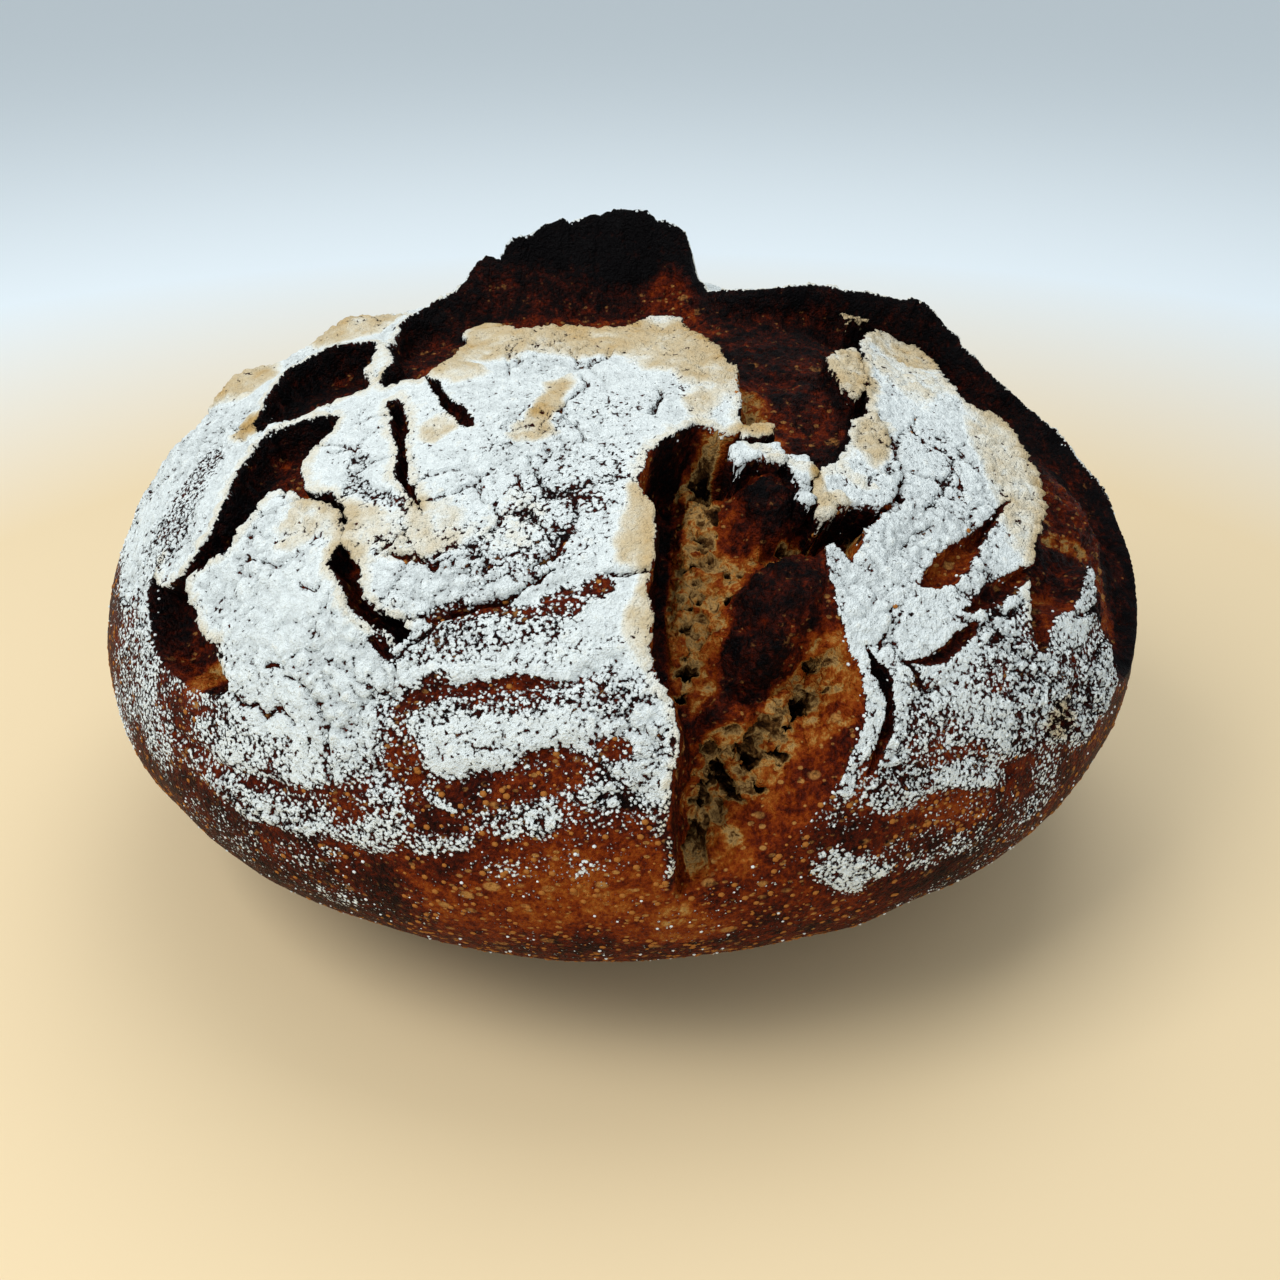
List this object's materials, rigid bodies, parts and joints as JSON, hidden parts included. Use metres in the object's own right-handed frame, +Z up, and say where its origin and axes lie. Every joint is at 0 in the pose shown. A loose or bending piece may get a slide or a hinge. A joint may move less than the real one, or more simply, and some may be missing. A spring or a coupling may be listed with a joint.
{
  "type": "sourdough loaf",
  "caption": "Round rustic loaf with a floured, browned crust torn open at the crown and front, and a tall dark ear behind the crown.",
  "frame": {"origin": "middle of the bounding box in plan, on the table", "axes": "+Z up, -Y towards the front, where the long open tear is, +X to the right seen from the front"},
  "size_m": [0.2294, 0.2198, 0.1318],
  "materials": {
    "crust": "matte baked crust, red-brown to black where torn, caramel below, dusted with flour"
  },
  "bodies": {
    "root": {"loaf": "crust"}
  },
  "joints": []
}
